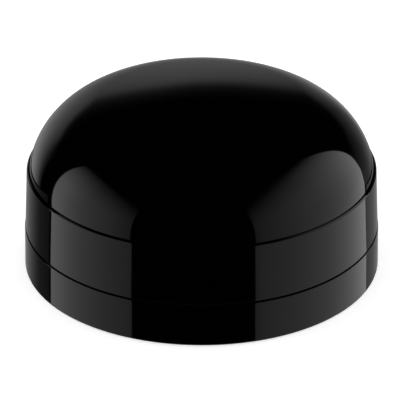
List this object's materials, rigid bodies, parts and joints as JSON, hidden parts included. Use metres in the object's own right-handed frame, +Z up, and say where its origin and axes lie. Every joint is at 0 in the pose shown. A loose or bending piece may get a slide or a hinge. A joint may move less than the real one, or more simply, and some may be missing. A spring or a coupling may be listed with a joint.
{
  "type": "gps antenna",
  "caption": "Low round gps antenna: a glossy dome on two stepped bands, with a recessed round connector and threaded inserts underneath.",
  "frame": {"origin": "centre of the underside, on the surface that the antenna stands on", "axes": "+Z up through the middle of the dome; +Y away from the side that the picture shows; the connector's coding key points to +X"},
  "size_m": [0.0916, 0.0916, 0.0465],
  "materials": {
    "housing_gloss": "glossy black moulded plastic",
    "seal_rubber": "matt black rubber",
    "screw_steel": "plain stainless steel",
    "insert_brass": "turned brass",
    "vent_film": "white porous film",
    "nickel_plate": "nickel-plated brass",
    "insert_plastic": "black moulded plastic",
    "contact_gold": "gold plate",
    "board_laminate": "green solder resist",
    "patch_ceramic": "fired tan ceramic",
    "patch_silver": "fired silver",
    "patch_adhesive": "acrylic foam tape",
    "shield_tin": "tin-plated sheet",
    "chip_plastic": "black moulding compound",
    "capacitor_can": "drawn aluminium can",
    "lead_jacket": "black jacket"
  },
  "bodies": {
    "root": {"radome": "housing_gloss", "housing_ring": "housing_gloss", "base_housing": "housing_gloss", "radome_seal": "seal_rubber", "base_seal": "seal_rubber", "connector_gasket": "seal_rubber", "housing_screws": "screw_steel", "board_screws": "screw_steel", "threaded_inserts": "insert_brass", "board_spacers": "insert_brass", "vent_membrane": "vent_film", "connector_shell": "nickel_plate", "connector_nut": "nickel_plate", "connector_insert": "insert_plastic", "connector_pins": "contact_gold", "feed_pin": "contact_gold", "coax_sockets": "contact_gold", "coax_plugs": "contact_gold", "main_board": "board_laminate", "aerial_board": "board_laminate", "patch_ceramic": "patch_ceramic", "band_filter": "patch_ceramic", "ceramic_capacitors": "patch_ceramic", "patch_electrode": "patch_silver", "patch_tape": "patch_adhesive", "amplifier_can": "shield_tin", "shield_frame": "shield_tin", "shield_lid": "shield_tin", "clock_crystal": "shield_tin", "backup_cell": "shield_tin", "amplifier_chip": "chip_plastic", "receiver_chip": "chip_plastic", "processor_chip": "chip_plastic", "transceiver_chip": "chip_plastic", "power_inductor": "chip_plastic", "chip_resistors": "chip_plastic", "filter_capacitors": "capacitor_can", "coax_lead": "lead_jacket"}
  },
  "joints": []
}
